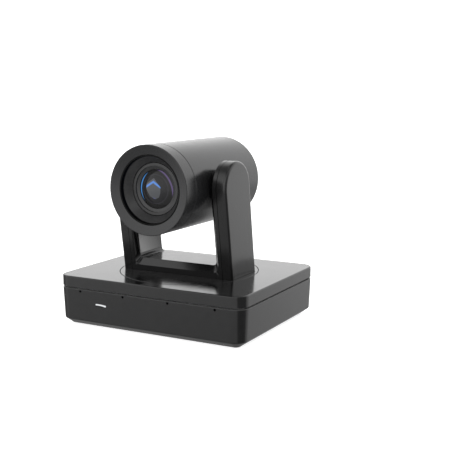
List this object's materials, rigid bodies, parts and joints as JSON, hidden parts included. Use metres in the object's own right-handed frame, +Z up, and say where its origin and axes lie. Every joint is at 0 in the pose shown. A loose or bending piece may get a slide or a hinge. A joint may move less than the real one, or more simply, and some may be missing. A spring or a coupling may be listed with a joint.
{
  "type": "ptz camera",
  "caption": "Pan-tilt-zoom conference camera: flat rounded base with sockets at the back, panning U-shaped yoke and a tilting cylindrical head with a recessed lens.",
  "frame": {"origin": "on the surface the feet stand on, under the middle of the base", "axes": "+X to the right seen from the front, +Y towards the sockets at the back, +Z up; the lens looks along -Y at rest"},
  "size_m": [0.21, 0.168, 0.185],
  "materials": {
    "casing": "fine satin moulded plastic, graphite black",
    "lid": "smooth satin-gloss top plate, graphite black",
    "head_paint": "satin metallic graphite paint",
    "black_plastic": "satin black",
    "steel": "zinc-plated",
    "brass": "machined",
    "nylon": "natural",
    "rubber": "matt",
    "circuit_board": "solder mask green",
    "glass": "coated optical glass",
    "light": "translucent, lit white"
  },
  "bodies": {
    "base": {"base_housing": "casing", "base_lid": "lid", "foot_1": "rubber", "foot_2": "rubber", "foot_3": "rubber", "foot_4": "rubber", "lid_screw_1": "steel", "lid_screw_2": "steel", "lid_screw_3": "steel", "lid_screw_4": "steel", "tripod_plate": "steel", "tripod_insert": "brass", "main_board": "circuit_board", "front_board": "circuit_board", "status_light": "light", "rear_panel": "steel", "power_socket": "black_plastic", "lan_socket": "steel", "usb_socket": "steel", "hdmi_socket": "steel", "serial_socket": "black_plastic", "pan_chassis": "steel", "pan_bearing": "steel", "pan_motor": "steel"},
    "pan_pinion": {"pan_pinion": "brass"},
    "yoke": {"turntable": "lid", "pan_hub": "steel", "pan_gear": "nylon", "yoke_frame": "casing", "arm_cover_left": "casing", "arm_cover_right": "casing", "yoke_screw_left": "steel", "yoke_screw_right": "steel", "tilt_bearing_left": "steel", "tilt_bearing_right": "steel", "tilt_motor": "steel"},
    "tilt_pinion": {"tilt_pinion": "brass"},
    "head": {"head_barrel": "head_paint", "head_bezel": "head_paint", "head_rear_cap": "head_paint", "lens_hood": "black_plastic", "lens_barrel": "black_plastic", "front_lens": "glass", "optics_frame": "black_plastic", "guide_rod_top": "steel", "guide_rod_bottom": "steel", "iris_diaphragm": "steel", "zoom_motor": "steel", "focus_motor": "steel", "sensor_board": "circuit_board", "tilt_axle_left": "steel", "tilt_axle_right": "steel", "tilt_gear": "nylon"},
    "zoom_group": {"zoom_carriage": "black_plastic", "zoom_lens": "glass"},
    "focus_group": {"focus_carriage": "black_plastic", "focus_lens": "glass"},
    "zoom_lead_screw": {"zoom_lead_screw": "steel"},
    "focus_lead_screw": {"focus_lead_screw": "steel"}
  },
  "joints": [
    {"name": "pan", "type": "hinge", "parent": "base", "child": "yoke", "pos_m": [0, 0, 0.0514], "axis": [0, 0, 1], "range_deg": [-170, 170]},
    {"name": "tilt", "type": "hinge", "parent": "yoke", "child": "head", "pos_m": [0, -0.0136, 0.1415], "axis": [1, 0, 0], "range_deg": [-30, 30]},
    {"name": "pan_pinion_spin", "type": "hinge", "parent": "base", "child": "pan_pinion", "pos_m": [0, -0.045, 0.0417], "axis": [0, 0, 1], "range_deg": [-681, 681]},
    {"name": "tilt_pinion_spin", "type": "hinge", "parent": "yoke", "child": "tilt_pinion", "pos_m": [0.059, -0.0136, 0.1175], "axis": [1, 0, 0], "range_deg": [-91, 91]},
    {"name": "zoom", "type": "slide", "parent": "head", "child": "zoom_group", "axis": [0, 1, 0], "range_m": [0, 0.014]},
    {"name": "focus", "type": "slide", "parent": "head", "child": "focus_group", "axis": [0, 1, 0], "range_m": [-0.006, 0.006]},
    {"name": "zoom_screw_spin", "type": "hinge", "parent": "head", "child": "zoom_lead_screw", "pos_m": [0.009, -0.0136, 0.164], "axis": [0, 1, 0], "range_deg": [-2525, 2525]},
    {"name": "focus_screw_spin", "type": "hinge", "parent": "head", "child": "focus_lead_screw", "pos_m": [-0.009, -0.0136, 0.164], "axis": [0, 1, 0], "range_deg": [-1085, 1085]}
  ],
  "couplings": [
    {"joint": "pan_pinion_spin", "follows": "pan", "ratio": -4},
    {"joint": "tilt_pinion_spin", "follows": "tilt", "ratio": -3},
    {"joint": "zoom_screw_spin", "follows": "zoom", "rad_per_m": 3141.6},
    {"joint": "focus_screw_spin", "follows": "focus", "rad_per_m": 3141.6}
  ]
}
